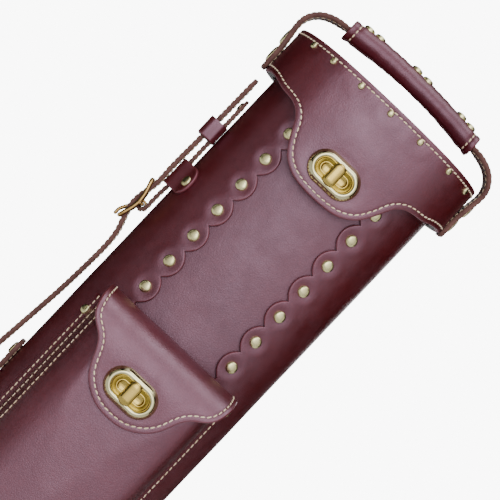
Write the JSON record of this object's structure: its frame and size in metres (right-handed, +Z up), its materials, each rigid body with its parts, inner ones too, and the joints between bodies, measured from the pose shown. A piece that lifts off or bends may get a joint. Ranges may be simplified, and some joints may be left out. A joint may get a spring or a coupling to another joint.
{
  "type": "cue case",
  "caption": "Upright leather hard case for two-piece cues, with a hinged cap lid, turn locks, an accessory pouch, a top grip, a side handle and a buckled shoulder strap",
  "frame": {"origin": "centre of the feet's ground plane, below the middle of the body's oval", "axes": "+Z runs up the case, -Y is the front with the pouch and turn locks, +X is the wearer's right as seen from the front, away from the shoulder strap"},
  "size_m": [0.182, 0.1574, 0.8909],
  "materials": {
    "leather": "satin full-grain leather",
    "leather_light": "satin strap leather",
    "brass": "polished",
    "board": "vulcanised fibreboard",
    "lining": "black velour",
    "tube": "flocked plastic",
    "foam": "dense foam",
    "rubber": "moulded"
  },
  "bodies": {
    "case_body": {"core_front_half": "board", "core_back_half": "board", "front_panel": "leather", "back_wrap": "leather", "wrap_rivets_left": "brass", "wrap_rivets_right": "brass", "neck_collar": "lining", "butt_tubes": "tube", "shaft_tubes": "tube", "tube_top_plate": "lining", "tube_spacers": "foam", "base_disc": "board", "base_pad": "foam", "base_tacks": "brass", "base_band": "leather", "base_leather": "leather", "feet": "rubber", "pouch_back": "leather", "pouch_gusset": "leather", "pouch_front": "leather", "pouch_rivets": "brass", "pouch_lock_base": "brass", "lid_lock_base": "brass", "hinge_pad": "foam", "hinge_lower_leaf": "leather", "hinge_lower_rivets": "brass", "upper_anchor_band": "leather_light", "upper_anchor_rivets": "brass", "lower_anchor_band": "leather_light", "lower_anchor_rivets": "brass", "buckle_chape": "leather_light", "chape_rivet": "brass", "buckle_frame": "brass", "strap_upper": "leather_light", "strap_lower": "leather_light", "side_handle": "leather_light", "side_handle_rivets": "brass"},
    "lid": {"lid_core": "board", "lid_band": "leather", "lid_top": "leather", "lid_liner": "lining", "lid_tacks": "brass", "hinge_upper_leaf": "leather", "hinge_upper_rivets": "brass", "handle_strap": "leather_light", "handle_grip": "leather", "grip_rivets": "brass", "handle_rivets": "brass"},
    "tongue": {"lid_tongue": "leather", "lid_lock_plate": "brass", "lid_lock_cup": "brass"},
    "lid_knob": {"lid_lock_knob": "brass"},
    "flap": {"pouch_flap": "leather", "pouch_lock_plate": "brass", "pouch_lock_cup": "brass"},
    "flap_knob": {"pouch_lock_knob": "brass"},
    "prong": {"buckle_prong": "brass"},
    "keeper": {"strap_keeper": "leather_light"},
    "long_strap": {"shoulder_strap": "leather_light"}
  },
  "joints": [
    {"name": "lid_hinge", "type": "hinge", "parent": "case_body", "child": "lid", "pos_m": [0, 0.05914, 0.82], "axis": [-1, 0, 0], "range_deg": [0, 160]},
    {"name": "tongue_lift", "type": "hinge", "parent": "lid", "child": "tongue", "pos_m": [0, -0.05649, 0.82], "axis": [-1, 0, 0], "range_deg": [0, 100]},
    {"name": "lid_lock_turn", "type": "hinge", "parent": "tongue", "child": "lid_knob", "pos_m": [0, -0.06149, 0.7975], "axis": [0, -1, 0], "range_deg": [0, 90]},
    {"name": "pouch_flap_lift", "type": "hinge", "parent": "case_body", "child": "flap", "pos_m": [0, -0.0487, 0.6521], "axis": [-1, 0, 0], "range_deg": [0, 90]},
    {"name": "pouch_lock_turn", "type": "hinge", "parent": "flap", "child": "flap_knob", "pos_m": [0, -0.094, 0.6135], "axis": [0, -1, 0], "range_deg": [0, 90]},
    {"name": "buckle_prong_swing", "type": "hinge", "parent": "case_body", "child": "prong", "pos_m": [-0.076, 0, 0.7], "axis": [0, 1, 0], "range_deg": [0, 25]},
    {"name": "strap_keeper_slide", "type": "slide", "parent": "case_body", "child": "keeper", "axis": [0, 0, 1], "range_m": [-0.016, 0.01]},
    {"name": "shoulder_strap_swing", "type": "hinge", "parent": "case_body", "child": "long_strap", "pos_m": [-0.0752, 0, 0.43], "axis": [0, 0, 1], "range_deg": [-25, 25]}
  ]
}
